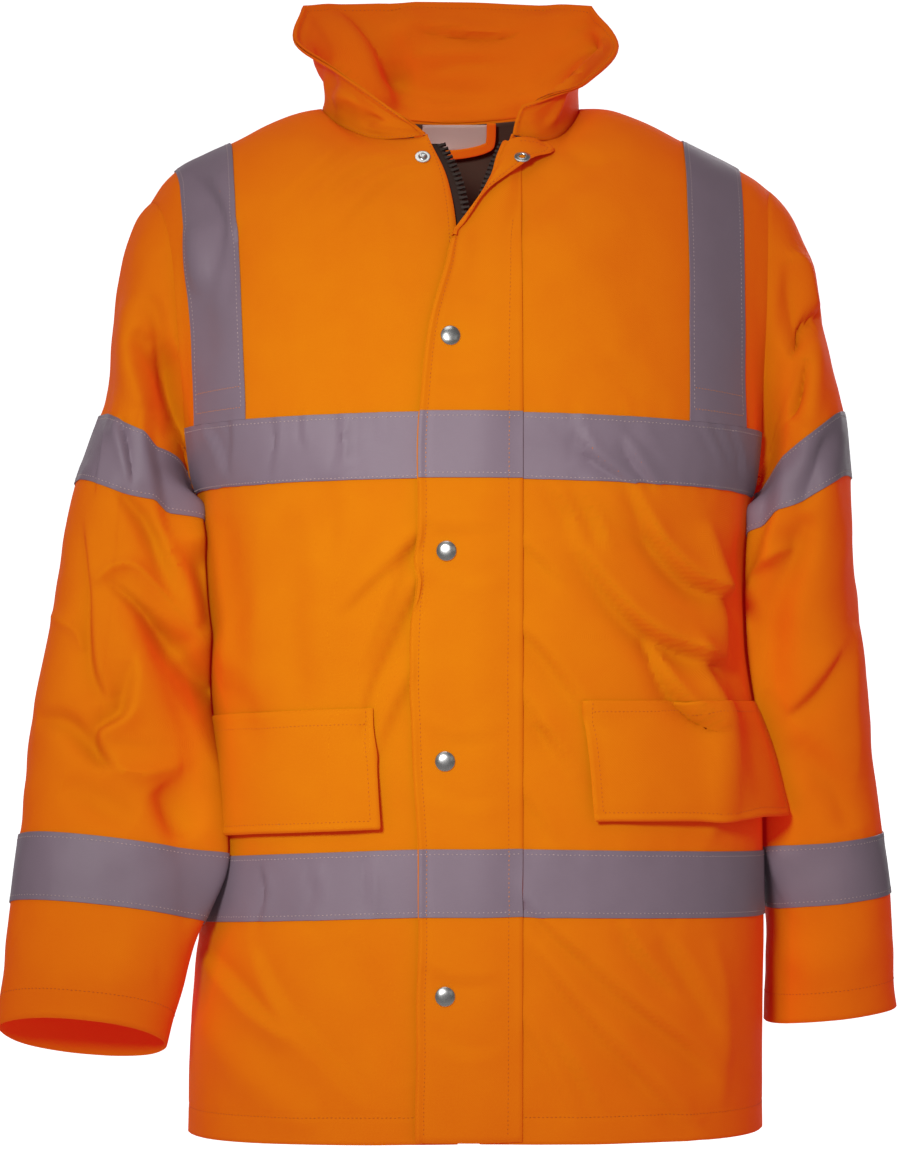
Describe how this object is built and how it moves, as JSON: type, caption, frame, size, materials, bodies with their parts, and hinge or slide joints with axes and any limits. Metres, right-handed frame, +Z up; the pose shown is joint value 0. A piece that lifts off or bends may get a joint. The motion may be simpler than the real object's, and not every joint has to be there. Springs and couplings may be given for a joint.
{
  "type": "hi-vis work jacket",
  "caption": "Orange hi-vis work jacket in its worn, hollow form, with a tall open collar, a storm flap over the front zip, hip pocket flaps and reflective tape round body, arms and shoulders.",
  "frame": {"origin": "between the wearer's shoulders, level with the sides of the neck where the shoulder seams start, on the side-to-side line of the shoulder seams", "axes": "+X towards the wearer's left, +Y towards the wearer's back, so the front faces -Y, +Z up"},
  "size_m": [0.69, 0.3298, 0.8905],
  "materials": {
    "hi_vis_orange": "matt woven polyester with a soft sheen",
    "reflective_tape": "grey retroreflective tape, satin",
    "dark_lining": "matt",
    "zip_plastic": "matt",
    "nickel": "satin nickel",
    "label_white": "matt woven label, blank"
  },
  "bodies": {
    "root": {"back": "hi_vis_orange", "back_lining": "dark_lining", "brace_left": "reflective_tape", "brace_right": "reflective_tape", "collar": "hi_vis_orange", "flap_facing": "hi_vis_orange", "front_left": "hi_vis_orange", "front_right": "hi_vis_orange", "hanger_loop": "hi_vis_orange", "neck_label": "label_white", "pocket_flap_left": "hi_vis_orange", "pocket_flap_right": "hi_vis_orange", "sleeve_left": "hi_vis_orange", "sleeve_right": "hi_vis_orange", "snap_cap_1": "nickel", "snap_cap_2": "nickel", "snap_cap_3": "nickel", "snap_cap_4": "nickel", "snap_socket": "nickel", "snap_stud": "nickel", "storm_flap": "hi_vis_orange", "tape_arm_left": "reflective_tape", "tape_arm_right": "reflective_tape", "tape_chest_back": "reflective_tape", "tape_chest_flap": "reflective_tape", "tape_chest_left": "reflective_tape", "tape_chest_right": "reflective_tape", "tape_waist_back": "reflective_tape", "tape_waist_flap": "reflective_tape", "tape_waist_left": "reflective_tape", "tape_waist_right": "reflective_tape", "tape_wrist_left": "reflective_tape", "tape_wrist_right": "reflective_tape", "zip_slider": "zip_plastic", "zip_tape_left": "zip_plastic", "zip_tape_right": "zip_plastic"}
  },
  "joints": []
}
